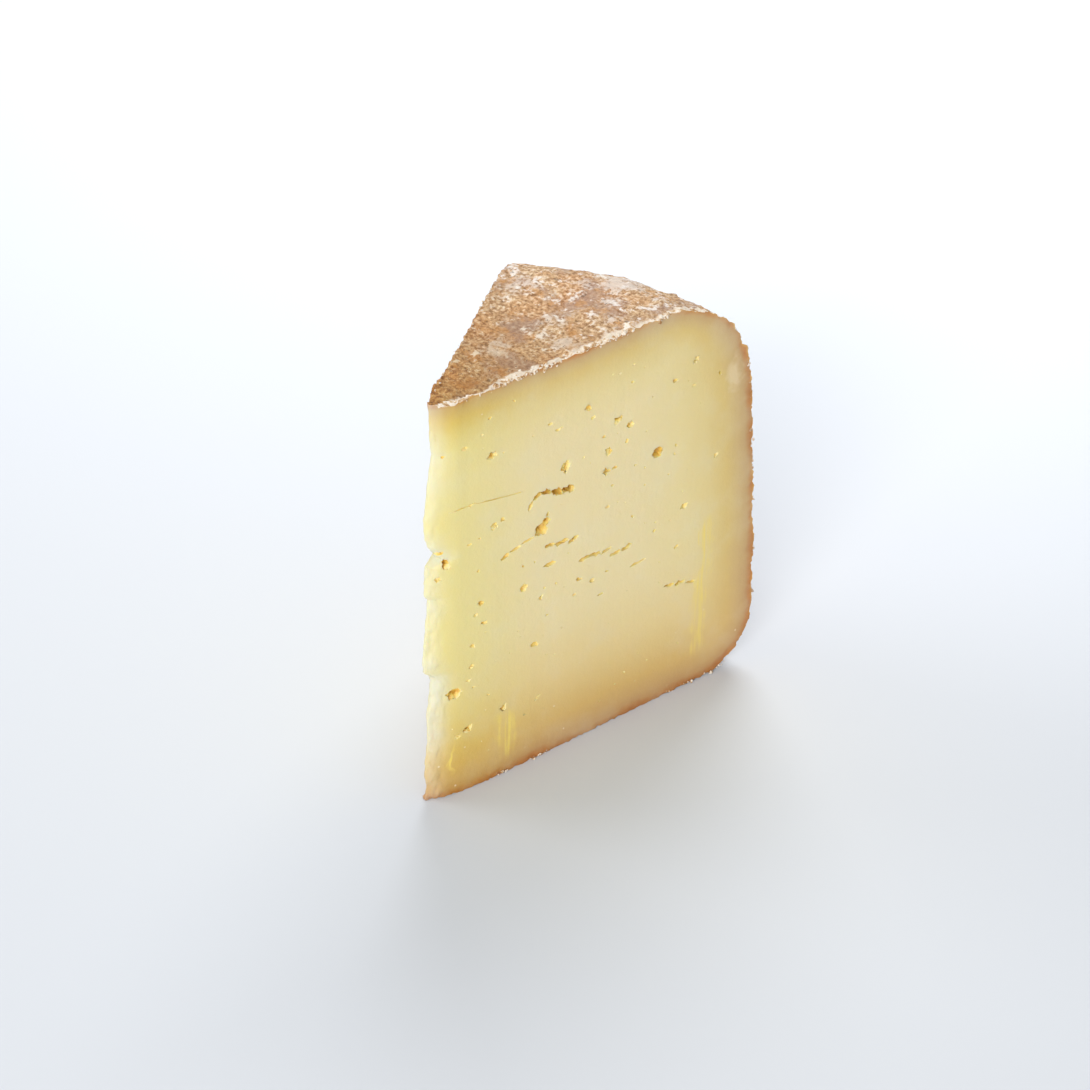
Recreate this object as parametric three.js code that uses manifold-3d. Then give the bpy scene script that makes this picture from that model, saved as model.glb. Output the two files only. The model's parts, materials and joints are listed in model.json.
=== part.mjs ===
// A wedge of pressed ewe's-milk cheese, cut by hand from a tall round wheel with a natural rind.
//
// The wheel is a body of revolution, and two upright knife cuts take the wedge out of it. The cuts
// meet a little to one side of the wheel's middle, and the paste there broke off as a blunt, uneven
// point. Small round eyes and a few flat cracks stand open on the cut that faces +X.
//
// Millimetres, +Z up. The wedge stands on the wheel's flat foot, with its point towards -Y and the
// rind towards +Y. The origin is the middle of the wedge's bounding box, on the ground.
import * as THREE from 'three';
import { mergeVertices } from 'three/addons/utils/BufferGeometryUtils.js';
import Module from 'manifold-3d';

// The whole wheel.
const WHEEL_RADIUS = 108;      // at the belly, just above the foot
const WHEEL_HEIGHT = 124.5;
const SIDE_DRAFT = 3.5;        // how much narrower the side is where the shoulder starts
const SHOULDER_WIDTH = 27;     // the rounding between the top and the side
const SHOULDER_HEIGHT = 35;
const FOOT_WIDTH = 17;         // the rounding between the side and the flat underneath
const FOOT_HEIGHT = 17;

// The two knife cuts.
const WEDGE_ANGLE = THREE.MathUtils.degToRad(37.4);
const CUTS_RIGHT_OF_MIDDLE = -17;  // where the cuts meet, from the wheel's axis, along X
const CUTS_AHEAD_OF_MIDDLE = 4;    // and along Y

// The blunt point, as distances from the line where the two cuts would meet.
const POINT_ON_HIDDEN_CUT = 1.8;
const POINT_ON_OPEN_CUT = 11.5;
const POINT_LEAN = 5.5;        // how much further back the point is at the top than at the foot

// Hollows in the paste. The first two numbers place each one on the open cut: its share of the way
// from the point to the rind, and of the wheel's height. The others are its real size: length,
// height, how deep it goes in, and its tilt from the level in degrees.
const EYES = [
  [0.69, 0.67, 4.5, 3.0, 2.5, 40],
  [0.34, 0.60, 4.5, 2.8, 2.5, 35],
  [0.41, 0.74, 2.2, 3.2, 2.0, 0],
  [0.54, 0.73, 2.4, 2.6, 2.0, 0],
  [0.56, 0.80, 2.6, 1.8, 1.8, 10],
  [0.60, 0.77, 2.6, 1.8, 1.8, 10],
  [0.20, 0.84, 2.6, 2.0, 1.8, 0],
  [0.79, 0.86, 2.0, 2.2, 1.8, 0],
  [0.12, 0.275, 5.0, 4.0, 3.0, 0],
  [0.22, 0.18, 2.6, 2.2, 2.0, 0],
];
const CRACKS = [
  [0.37, 0.68, 14.0, 1.8, 3.5, 0],
  [0.40, 0.545, 9.0, 1.4, 2.5, 0],
];

// Bites that broke out of the point: share of the wheel's height, own height, and depth.
const POINT_BITES = [
  [0.93, 9.0, 1.6],
  [0.66, 5.0, 6.0],
  [0.36, 8.0, 2.4],
];

// How finely the curves are drawn.
const WHEEL_SIDES = 150;
const ARC_STEPS = 9;
const POINT_STEPS = 5;
const LEAN_STEPS = 9;
const HOLLOW_STEPS = 8;
const CUT_CLEARANCE = 20;      // how far the knife shape reaches past the wheel
const ROUND_OFF = 1e-3;

const wasm = await Module();
wasm.setup();

// A closed three.js geometry becomes a solid that can be joined and cut.
function toSolid(geometry) {
  const bare = geometry.clone();
  bare.deleteAttribute('normal');
  bare.deleteAttribute('uv');
  const merged = mergeVertices(bare, ROUND_OFF);
  return new wasm.Manifold(new wasm.Mesh({
    numProp: 3,
    vertProperties: new Float32Array(merged.getAttribute('position').array),
    triVerts: new Uint32Array(merged.getIndex().array),
  }));
}

// A solid becomes a three.js geometry again.
function toGeometry(solid) {
  const mesh = solid.getMesh();
  const geometry = new THREE.BufferGeometry();
  geometry.setAttribute('position', new THREE.BufferAttribute(mesh.vertProperties, 3));
  geometry.setIndex(new THREE.BufferAttribute(mesh.triVerts, 1));
  geometry.computeVertexNormals();
  return geometry;
}

// Half the wheel's section: flat foot, foot rounding, leaning side, shoulder and flat top.
function wheelProfile() {
  const shoulderRadius = WHEEL_RADIUS - SIDE_DRAFT;
  const footEdge = WHEEL_RADIUS - FOOT_WIDTH;
  const shoulderEdge = shoulderRadius - SHOULDER_WIDTH;
  const shoulderStart = WHEEL_HEIGHT - SHOULDER_HEIGHT;
  const path = new THREE.Path();
  path.moveTo(0, 0);
  path.lineTo(footEdge, 0);
  path.absellipse(footEdge, FOOT_HEIGHT, FOOT_WIDTH, FOOT_HEIGHT, -Math.PI / 2, 0, false);
  path.quadraticCurveTo(
    WHEEL_RADIUS, (FOOT_HEIGHT + shoulderStart) / 2,
    shoulderRadius, shoulderStart,
  );
  path.absellipse(
    shoulderEdge, shoulderStart, SHOULDER_WIDTH, SHOULDER_HEIGHT, 0, Math.PI / 2, false,
  );
  path.lineTo(0, WHEEL_HEIGHT);
  return path.getPoints(ARC_STEPS);
}

// The wheel stands on the ground, with its axis beside the line where the cuts meet.
function makeWheel() {
  const geometry = new THREE.LatheGeometry(wheelProfile(), WHEEL_SIDES);
  geometry.rotateX(Math.PI / 2);
  geometry.translate(-CUTS_RIGHT_OF_MIDDLE, -CUTS_AHEAD_OF_MIDDLE, 0);
  return toSolid(geometry);
}

// A point of the plan, from its distance to the cuts' meeting line. Side is +1 on the open cut,
// which faces +X, and -1 on the hidden cut.
function onCut(distance, side) {
  const angle = (side * WEDGE_ANGLE) / 2;
  return new THREE.Vector2(distance * Math.sin(angle), distance * Math.cos(angle));
}

// The point runs straight up from the foot and then leans back more and more.
function leanAt(z) {
  return POINT_LEAN * (z / WHEEL_HEIGHT) ** 2;
}

// What lies between the two cuts. The blunt point leans straight away from the line where the cuts
// would meet, so both cut faces stay flat.
function makeCuts() {
  const reach = WHEEL_RADIUS + Math.hypot(CUTS_RIGHT_OF_MIDDLE, CUTS_AHEAD_OF_MIDDLE);
  const far = (reach + CUT_CLEARANCE) / Math.cos(WEDGE_ANGLE / 2);
  const hiddenPoint = onCut(POINT_ON_HIDDEN_CUT, -1);
  const openPoint = onCut(POINT_ON_OPEN_CUT, 1);
  const middle = onCut(POINT_ON_HIDDEN_CUT, 1);
  const hiddenFar = onCut(far, -1);
  const openFar = onCut(far, 1);
  const plan = new THREE.Shape();
  plan.moveTo(hiddenPoint.x, hiddenPoint.y);
  plan.quadraticCurveTo(middle.x, middle.y, openPoint.x, openPoint.y);
  plan.lineTo(openFar.x, openFar.y);
  plan.lineTo(hiddenFar.x, hiddenFar.y);
  plan.closePath();
  const geometry = new THREE.ExtrudeGeometry(plan, {
    depth: WHEEL_HEIGHT + 2 * CUT_CLEARANCE,
    steps: LEAN_STEPS,
    curveSegments: POINT_STEPS,
    bevelEnabled: false,
  });
  geometry.translate(0, 0, -CUT_CLEARANCE);
  leanPoint(geometry);
  return toSolid(geometry);
}

function leanPoint(geometry) {
  const position = geometry.getAttribute('position');
  const point = new THREE.Vector3();
  for (let i = 0; i < position.count; i += 1) {
    point.fromBufferAttribute(position, i);
    const distance = Math.hypot(point.x, point.y);
    if (distance < POINT_ON_OPEN_CUT + ROUND_OFF) {
      const scale = 1 + leanAt(point.z) / distance;
      position.setXY(i, point.x * scale, point.y * scale);
    }
  }
}

// Length of the open cut, from the cuts' meeting line to the belly of the wheel.
function openCutLength() {
  const axis = new THREE.Vector2(-CUTS_RIGHT_OF_MIDDLE, -CUTS_AHEAD_OF_MIDDLE);
  const along = axis.dot(onCut(1, 1));
  return along + Math.sqrt(along ** 2 - axis.lengthSq() + WHEEL_RADIUS ** 2);
}

// A hollow is a coarse ball, stretched to its three sizes. Its length lies along the open cut, and
// its middle is on the cut.
function makeHollow([along, up, length, height, depth, tilt]) {
  const place = onCut(along * openCutLength(), 1);
  const geometry = new THREE.SphereGeometry(1, HOLLOW_STEPS, HOLLOW_STEPS - 2);
  geometry.scale(length / 2, depth, height / 2);
  geometry.rotateY(-THREE.MathUtils.degToRad(tilt));
  geometry.rotateZ(Math.PI / 2 - WEDGE_ANGLE / 2);
  geometry.translate(place.x, place.y, up * WHEEL_HEIGHT);
  return toSolid(geometry);
}

// A bite is a stretched ball too, with its middle on the foremost line of the point.
function makeBite([up, height, depth]) {
  const z = up * WHEEL_HEIGHT;
  const place = onCut(POINT_ON_HIDDEN_CUT + leanAt(z), -1);
  const geometry = new THREE.SphereGeometry(1, HOLLOW_STEPS, HOLLOW_STEPS - 2);
  geometry.scale(POINT_ON_OPEN_CUT, depth, height / 2);
  geometry.translate(place.x, place.y, z);
  return toSolid(geometry);
}

// The wedge, moved so that the origin is the middle of its bounding box, on the ground.
function makeWedge() {
  let wedge = makeWheel().intersect(makeCuts());
  for (const hollow of [...EYES, ...CRACKS]) {
    wedge = wedge.subtract(makeHollow(hollow));
  }
  for (const bite of POINT_BITES) {
    wedge = wedge.subtract(makeBite(bite));
  }
  const geometry = toGeometry(wedge);
  geometry.computeBoundingBox();
  const middle = geometry.boundingBox.getCenter(new THREE.Vector3());
  geometry.translate(-middle.x, -middle.y, -geometry.boundingBox.min.z);
  return geometry;
}

const paste = new THREE.MeshStandardMaterial({ color: '#e2d3a0', roughness: 0.5, metalness: 0 });

const cheeseWedge = new THREE.Mesh(makeWedge(), paste);
cheeseWedge.name = 'cheese_wedge';

const part = new THREE.Group();
part.add(cheeseWedge);

export default part;
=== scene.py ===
# %% [markdown]
# # A wedge of pressed ewe's-milk cheese
#
# A cheesemaker presses curd in a cloth-lined mould, lets the wheel grow a dry rind for months, and
# then cuts it with a long knife. This scene follows the same order: a wheel with a rind, two knife
# cuts, the eyes and cracks that the cuts open, and the crumbs that the knife leaves. Paste and rind
# are one piece of food, so they end as one mesh.
#
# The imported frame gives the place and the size. Everything is in metres, +Z up, and the point of
# the wedge looks towards -Y.

# %% Load the frame
import functools
import json
import math

import bpy
import numpy as np
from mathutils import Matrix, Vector

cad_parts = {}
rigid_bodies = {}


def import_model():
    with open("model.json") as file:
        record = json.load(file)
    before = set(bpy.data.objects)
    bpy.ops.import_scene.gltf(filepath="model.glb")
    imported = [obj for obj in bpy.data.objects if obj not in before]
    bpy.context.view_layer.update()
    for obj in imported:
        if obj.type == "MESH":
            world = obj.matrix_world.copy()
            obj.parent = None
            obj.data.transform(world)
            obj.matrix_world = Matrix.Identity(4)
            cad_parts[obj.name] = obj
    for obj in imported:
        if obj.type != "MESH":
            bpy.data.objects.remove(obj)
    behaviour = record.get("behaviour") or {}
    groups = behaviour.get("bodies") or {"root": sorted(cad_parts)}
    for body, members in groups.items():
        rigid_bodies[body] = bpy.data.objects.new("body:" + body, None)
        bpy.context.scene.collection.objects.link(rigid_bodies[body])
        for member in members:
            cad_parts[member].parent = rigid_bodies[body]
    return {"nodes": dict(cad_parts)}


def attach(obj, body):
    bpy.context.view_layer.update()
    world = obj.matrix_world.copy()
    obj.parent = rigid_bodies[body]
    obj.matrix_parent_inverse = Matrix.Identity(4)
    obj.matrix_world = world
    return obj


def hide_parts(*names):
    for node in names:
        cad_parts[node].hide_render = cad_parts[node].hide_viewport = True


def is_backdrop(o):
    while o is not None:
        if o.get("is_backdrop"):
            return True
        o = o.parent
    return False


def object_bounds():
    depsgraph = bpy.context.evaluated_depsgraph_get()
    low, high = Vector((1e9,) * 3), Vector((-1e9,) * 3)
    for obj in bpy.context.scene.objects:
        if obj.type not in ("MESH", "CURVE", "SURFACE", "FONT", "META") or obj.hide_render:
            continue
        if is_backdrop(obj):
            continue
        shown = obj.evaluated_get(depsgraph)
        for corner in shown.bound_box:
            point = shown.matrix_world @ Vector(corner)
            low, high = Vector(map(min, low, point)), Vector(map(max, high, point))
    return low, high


for leftover in list(bpy.data.objects):
    bpy.data.objects.remove(leftover)
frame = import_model()
cad_low, cad_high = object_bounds()
MM = 0.001
print("the wedge measures", [round(size / MM, 1) for size in cad_high - cad_low], "mm")

# %% [markdown]
# ## Where the knife went
#
# Both cuts are upright planes, and they would meet on an upright line just in front of the blunt
# point. That line is the best place to measure from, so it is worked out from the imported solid:
# each cut plane is as far out as the solid reaches in that plane's own direction.

# %% Find the line where the two cuts meet
HALF_ANGLE = math.radians(18.7)
OPEN, HIDDEN = 1, -1
wheel_height = cad_high.z - cad_low.z


def cut_normal(side):
    """The way a cut face looks: the open cut towards +X, the hidden cut towards -X."""
    return np.array([side * math.cos(HALF_ANGLE), -math.sin(HALF_ANGLE)])


def cut_direction(side):
    """The way along a cut, from the point of the wedge to the rind."""
    return np.array([side * math.sin(HALF_ANGLE), math.cos(HALF_ANGLE)])


solid = np.array([v.co for v in frame["nodes"]["cheese_wedge"].data.vertices])
planes = np.array([cut_normal(OPEN), cut_normal(HIDDEN)])
reach = (solid[:, :2] @ planes.T).max(axis=0)
meeting = np.linalg.solve(planes, reach)
print("the cuts meet at", (meeting / MM).round(2), "mm")

# %% [markdown]
# ## The camera
#
# The wedge is looked down on from its open side, with a long lens from about a metre away, so its
# upright edges stay nearly parallel.

# %% Set the camera
CAMERA_AZIMUTH, CAMERA_ELEVATION = math.radians(34.83), math.radians(37.02)
CAMERA_DISTANCE = 0.941
CAMERA_LENS = 105.06
AIM_FROM_MEETING = Vector((-46.4, 119.9, -7.5)) * MM


def put_in_scene(name, data):
    made = bpy.data.objects.new(name, data)
    bpy.context.scene.collection.objects.link(made)
    return made


def look_along(thing, heading):
    thing.rotation_euler = heading.to_track_quat("-Z", "Y").to_euler()


def aim_camera():
    camera = put_in_scene("camera", bpy.data.cameras.new("camera"))
    camera.data.lens = CAMERA_LENS
    back = Vector((
        math.sin(CAMERA_AZIMUTH) * math.cos(CAMERA_ELEVATION),
        -math.cos(CAMERA_AZIMUTH) * math.cos(CAMERA_ELEVATION),
        math.sin(CAMERA_ELEVATION),
    ))
    camera.location = Vector((*meeting, 0)) + AIM_FROM_MEETING + back * CAMERA_DISTANCE
    look_along(camera, -back)
    bpy.context.scene.camera = camera
    print("camera at", (camera.location / MM).to_tuple(0), "mm")


aim_camera()

# %% [markdown]
# ## Helpers for node trees
#
# A node tree is only nodes and links, so one helper adds a node, sets it up and fills its inputs
# with values or with other nodes. A word after a dot is the node's main choice, such as a Math
# node's operation. Inputs without a name go in the node's own order: a Map Range reads value, from
# low, from high, to low, to high.
#
# A second helper runs a Geometry Nodes tree and keeps its result as a plain mesh. Modifier inputs
# are set by their identifiers, before the object is first evaluated.

# %% Add a node
PREFIXES = ("ShaderNode", "GeometryNode", "FunctionNode", "")
CHOICES = ("operation", "interpolation_type", "data_type", "mode")


def fill(tree, socket, value):
    """Set an input, or link it to a socket or to a node's first live output."""
    if isinstance(value, bpy.types.Node):
        value = next(output for output in value.outputs if output.enabled)
    if isinstance(value, bpy.types.NodeSocket):
        tree.links.new(value, socket)
    else:
        socket.default_value = value


def add(tree, kind, *values, stops=(), **named):
    """Add a node. Names in small letters are settings, and names in capitals are inputs."""
    kind, _, choice = kind.partition(".")
    made = tree.nodes.new(next(p + kind for p in PREFIXES if hasattr(bpy.types, p + kind)))
    if choice:
        setattr(made, next(c for c in CHOICES if hasattr(made, c)), choice)
    for name, value in named.items():
        if name[0].islower():
            setattr(made, name, value)
    for socket, value in zip(made.inputs, values):
        fill(tree, socket, value)
    for name, value in named.items():
        if name[0].isupper():
            label = name.replace("_", " ")
            fill(tree, next(s for s in made.inputs if s.enabled and s.name == label), value)
    for i, (place, colour) in enumerate(stops):
        elements = made.color_ramp.elements
        element = elements[i] if i < len(elements) else elements.new(1.0)
        element.position, element.color = place, linear(colour)
    return made


# %% Build and run Geometry Nodes trees


def new_tree(name, **sizes):
    """A tree with a geometry, named sizes and a material as its inputs."""
    tree = bpy.data.node_groups.new(name, "GeometryNodeTree")
    face = tree.interface
    face.new_socket("Geometry", in_out="INPUT", socket_type="NodeSocketGeometry")
    face.new_socket("Geometry", in_out="OUTPUT", socket_type="NodeSocketGeometry")
    for label, value in sizes.items():
        kind = "NodeSocketInt" if isinstance(value, int) else "NodeSocketFloat"
        socket = face.new_socket(label.replace("_", " "), in_out="INPUT", socket_type=kind)
        socket.default_value = value
    face.new_socket("Material", in_out="INPUT", socket_type="NodeSocketMaterial")
    node = functools.partial(add, tree)
    return tree, node("NodeGroupInput").outputs, node


def finish_tree(node, given, geometry, **chosen):
    real = node("RealizeInstances", geometry)
    node("NodeGroupOutput", node("SetMaterial", real, Material=given["Material"], **chosen))


def plain_mesh(thing, name):
    """What an object looks like after its modifiers, as a mesh of its own."""
    graph = bpy.context.evaluated_depsgraph_get()
    mesh = bpy.data.meshes.new_from_object(thing.evaluated_get(graph), depsgraph=graph)
    mesh.name = name
    return mesh


def run_tree(tree, name, mesh, **values):
    """Run a tree on a mesh and return an object that holds the plain result."""
    grown = put_in_scene(name, mesh)
    modifier = grown.modifiers.new(name, "NODES")
    modifier.node_group = tree
    named = {label.replace("_", " "): value for label, value in values.items()}
    for item in tree.interface.items_tree:
        if item.in_out == "INPUT" and item.name in named:
            modifier[item.identifier] = named[item.name]
    result = plain_mesh(grown, name)
    grown.modifiers.clear()
    grown.data = result
    print(name, "has", len(result.polygons), "faces")
    return grown


def outline_mesh(name, points, closed=True):
    """A line through points, for a tree to sweep or to walk along."""
    count = len(points)
    mesh = bpy.data.meshes.new(name)
    mesh.from_pydata(points, [(i, (i + 1) % count) for i in range(count if closed else count - 1)],
                     [])
    return mesh


# %% Steps that several trees share
NO_LOWER = (-1.0, -1.0, 0.0)   # a place's least x, y and z: free sideways, and on the table


def push_out(node, geometry, height):
    """Move a surface along its own normals."""
    push = node("VectorMath.SCALE", node("InputNormal"), Scale=height)
    return node("SetPosition", geometry, Offset=push)


def push_any_way(node, place, feature, amount):
    """An offset whose way follows a noise with the given feature size."""
    noise = node("TexNoise", place, Scale=node("Math.DIVIDE", 1.0, feature), Detail=2.0)
    way = node("VectorMath.SUBTRACT", noise.outputs["Color"], (0.5, 0.5, 0.5))
    return node("VectorMath.SCALE", way, Scale=amount)


def layered_height(node, place, layers):
    """Noises of several feature sizes, each with its height and detail, added up."""
    height = 0.0
    for feature, amount, detail in layers:
        noise = node("TexNoise", place, Scale=1 / feature, Detail=detail)
        part = node("MapRange", noise, 0.0, 1.0, -amount, amount, clamp=False)
        height = node("Math.ADD", height, part)
    return height


def kept_on_table(node, geometry, place):
    """Put a surface where it should be, but nowhere below the table."""
    return node("SetPosition", geometry, Position=node("VectorMath.MAXIMUM", place, NO_LOWER))


# %% [markdown]
# ## Colours
#
# Colours are written as sRGB hex values, the way a paint chart gives them, and one function turns
# them linear for the shaders. Another lays tints over each other, as a painter glazes.

# %% Turn a hex colour linear


def linear(hex_colour):
    parts = [int(hex_colour[i:i + 2], 16) / 255 for i in (1, 3, 5)]
    return [c / 12.92 if c <= 0.04045 else ((c + 0.055) / 1.055) ** 2.4 for c in parts] + [1.0]


def new_material(name):
    material = bpy.data.materials.new(name)
    material.use_nodes = True
    material.node_tree.nodes.clear()
    return material, functools.partial(add, material.node_tree)


def lay_over(node, colour, layers):
    """Lay (blend, how much, tint) layers over a colour, one after the other."""
    for blend, factor, tint in layers:
        tint = linear(tint) if isinstance(tint, str) else tint
        colour = node("Mix", Factor=factor, A=colour, B=tint, data_type="RGBA", blend_type=blend)
    return colour


def finish_material(node, **surface):
    node("OutputMaterial", node("BsdfPrincipled", **surface))


# %% [markdown]
# ## The paste
#
# The paste is pressed ewe's-milk curd, aged some months. It is ivory in the middle and dries to
# yellow and then ochre towards the rind, and a thin brown line marks the rind itself. Light goes a
# few millimetres into it, so it takes subsurface scattering, and the knife leaves it faintly waxy.
#
# The mesh carries the measures that the colours follow, in millimetres: how deep each point lies
# under the rind, how far along the cut it is from the point of the wedge, and how torn it is.

# %% Make the paste's material
PASTE_BAND = 24.0              # how far the drying shows under the rind
WARM_BOUNCE_HEIGHT = 55.0               # how high the painted warm bounce light at the foot reaches
THIN_POINT = (3.0, 42.0)       # where the painted yellow of light shining through the thin point starts and ends
SMEARS = [                     # butterfat smeared by the knife: along, low, high, half width
    (89.4, 11, 36, 1.9), (91.2, 26, 54, 1.7), (24.6, 6, 20, 2.6), (8.8, 9, 18, 0.4),
]
CLOUDY_PATCH = (98.5, 97.0)    # along and up: dried pale where the rind lifted


def band(node, value, low, high, soft):
    """One between low and high, falling softly to zero outside."""
    rise = node("MapRange.SMOOTHSTEP", value, low - soft, low + soft)
    fall = node("MapRange.SMOOTHSTEP", value, high - soft, high + soft, 1.0, 0.0)
    return node("Math.MULTIPLY", rise, fall)


def make_paste():
    material, node = new_material("pressed_ewes_milk_paste")
    place = node("TexCoord").outputs["Object"]
    depth, along, torn = (
        node("Attribute", attribute_name=name).outputs["Fac"]
        for name in ("drying_depth", "along_cut", "torn_point")
    )
    cloud = node("TexNoise", place, Scale=1 / (12 * MM), Detail=3.0)
    wobble = node("MapRange", cloud, To_Min=-1.6, To_Max=1.6)
    share = node("Math.DIVIDE", node("Math.ADD", depth, wobble), PASTE_BAND)
    dried = node("ValToRGB", share, stops=[
        (0.0, "#b0753c"), (0.025, "#b98a55"), (0.06, "#c2a270"), (0.13, "#ccb077"),
        (0.23, "#d6bc77"), (0.40, "#ddc98b"), (0.62, "#e2d199"), (1.0, "#e4d4a3"),
    ])
    # painted light: a warm bounce of light from below, strongest at the foot and fading upwards
    height = node("SeparateXYZ", place).outputs["Z"]
    height = node("Math.MULTIPLY", height, 1 / MM)
    low = node("MapRange.SMOOTHSTEP", height, 0.0, WARM_BOUNCE_HEIGHT, 1.0, 0.0)
    # painted light: near the point the wedge is thin, and the yellow of light shining
    # through it is painted in, most at the two ends
    nearness = node("Math.ABSOLUTE", along)
    thin = node("MapRange.SMOOTHSTEP", nearness, *THIN_POINT, 0.6, 0.0)
    ends = node("MapRange.SMOOTHSTEP", share, 0.10, 0.62, 1.0, 0.0)
    shine_through_gold = node("Math.MULTIPLY", ends, thin)
    # where the point broke off, the paste is whiter
    ragged = node("MapRange", cloud, To_Min=-0.25, To_Max=0.25)
    whiter = node("Math.ADD", torn, ragged, use_clamp=True)
    whiter = node("Math.MULTIPLY", whiter, 0.8)
    # fat and salt dried out in small pale specks, and one patch near the shoulder went cloudy
    dots = node("TexVoronoi", place, Scale=1 / (6.5 * MM))
    speck = node("MapRange", dots, 0.03, 0.06, 0.75, 0.0)
    outer = node("MapRange", depth, 6.0, 14.0, 1.0, 0.12)
    speck = node("Math.MULTIPLY", speck, outer)
    here = node("VectorMath.SUBTRACT", node("CombineXYZ", along, height), (*CLOUDY_PATCH, 0.0))
    here = node("VectorMath.MULTIPLY", here, (1.0, 0.55, 0.0))
    away = node("VectorMath.LENGTH", here)
    fringe = node("TexNoise", place, Scale=1 / (4 * MM), Detail=4.0)
    away = node("Math.ADD", away, node("MapRange", fringe, To_Min=-5.0, To_Max=5.0))
    cloudy = node("MapRange", away, 0.8, 3.6, 0.42, 0.0)
    cloudy = node("Math.MAXIMUM", cloudy, speck)
    # the smears are streaky: a fine noise drawn out along the knife's way
    stretch = node("Mapping", place, Scale=(1.0, 1.0, 0.06))
    streak = node("TexNoise", stretch, Scale=1 / (1.1 * MM), Detail=2.0)
    streaks = node("MapRange", streak, 0.40, 0.64, 0.12, 0.9)
    drift = node("TexNoise", place, Scale=1 / (7 * MM), Detail=2.0)
    sideways = node("Math.ADD", along, node("MapRange", drift, To_Min=-4.0, To_Max=4.0))
    smear = 0.0
    for middle, lowest, highest, half_width in SMEARS:
        across = band(node, sideways, middle - half_width, middle + half_width, half_width * 0.6)
        both = node("Math.MULTIPLY", across, band(node, height, lowest, highest, 3.0))
        smear = node("Math.MAXIMUM", smear, both)
    smear = node("Math.MULTIPLY", smear, streaks)
    # the warm foot tint and the yellow near the point are painted light, the rest is the paste's
    # own colour
    colour = lay_over(node, dried, [
        ("MULTIPLY", low, "#fbede2"), ("MULTIPLY", thin, "#f9ffc4"),
        ("MULTIPLY", shine_through_gold, "#fff0a6"), ("MIX", whiter, "#d0d8d8"),
        ("MIX", cloudy, "#e9d8b4"), ("MIX", smear, "#ead26c"),
    ])
    curd = node("TexNoise", place, Scale=1 / (1.6 * MM), Detail=4.0, Roughness=0.6)
    drag = node("TexNoise", stretch, Scale=1 / (4 * MM), Detail=2.0)
    relief = node("Math.ADD", curd, drag)
    finish_material(
        node, Base_Color=colour, IOR=1.45,
        Roughness=node("MapRange", smear, To_Min=0.46, To_Max=0.30),
        Normal=node("Bump", Height=relief, Strength=0.28, Distance=0.4 * MM),
        Subsurface_Weight=0.35, Subsurface_Radius=(1.0, 0.72, 0.32), Subsurface_Scale=4 * MM,
    )
    return material


paste = make_paste()

# %% [markdown]
# ## Inside an eye
#
# The wall of an eye never met the knife. It is smooth and a little oily, and light bounces about in
# it. That light is painted into its colour: a deeper gold than the face around it, and painted
# shade that darkens the wall the deeper it lies under the cut.

# %% Make the material of the eyes' walls
EYE_SHADE_DEPTH = 3.0                # millimetres below the cut where the wall's painted shade is darkest


def make_eye_wall():
    material, node = new_material("oily_eye_wall")
    place = node("TexCoord").outputs["Object"]
    cloud = node("TexNoise", place, Scale=1 / (3 * MM), Detail=3.0)
    depth = node("Attribute", attribute_name="eye_depth").outputs["Fac"]
    patch = node("MapRange", cloud, To_Min=-0.12, To_Max=0.12)
    share = node("Math.ADD", node("Math.DIVIDE", depth, EYE_SHADE_DEPTH), patch)
    # painted shade and painted bounce light: deeper gold, then darker, the deeper the wall lies
    gold = node("ValToRGB", share, stops=[
        (0.0, "#eadca4"), (0.16, "#eed98c"), (0.36, "#e9c765"), (0.62, "#d09c3c"),
        (1.0, "#54320f"),
    ])
    finish_material(
        node, Base_Color=gold, Roughness=0.35, IOR=1.45,
        Normal=node("Bump", Height=cloud, Strength=0.3, Distance=0.3 * MM),
        Subsurface_Weight=0.4, Subsurface_Radius=(1.0, 0.7, 0.3), Subsurface_Scale=3 * MM,
    )
    return material


eye_wall = make_eye_wall()

# %% [markdown]
# ## The rind
#
# The rind is the wheel's own skin, rubbed and turned in the cellar while moulds grew on it. It is
# dry and matt: tan and orange-brown where it was rubbed, grey and violet where mould stayed, with
# chalky white flecks, dark specks, and the print of the cloth that lined the mould. Several noises
# of different sizes lie over each other, each with the size of the thing it stands for.

# %% Make the rind's material
CLOTH_PITCH = 1.3 * MM
RIND_NOISES = (                # name, feature size, detail, and a shift that sets it apart
    ("ground", 22 * MM, 6.0, 0.0), ("mould", 8.5 * MM, 9.0, 3.0), ("violet", 12 * MM, 8.0, 7.0),
    ("grain", 1 * MM, 5.0, 11.0), ("rust", 6 * MM, 8.0, 13.0), ("fleck", 3.6 * MM, 8.0, 17.0),
    ("speck", 1.7 * MM, 3.0, 23.0),
)
RIND_LAYERS = (                # noise, where it starts and ends, strength, colour
    ("violet", 0.48, 0.62, 0.62, "#a08478"),
    ("rust", 0.52, 0.64, 0.60, "#c28a48"),
    ("mould", 0.49, 0.63, 0.72, "#dfd3c9"),
    ("fleck", 0.55, 0.66, 0.80, "#f2ebe4"),
    ("speck", 0.64, 0.72, 0.70, "#5a402a"),
)


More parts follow.
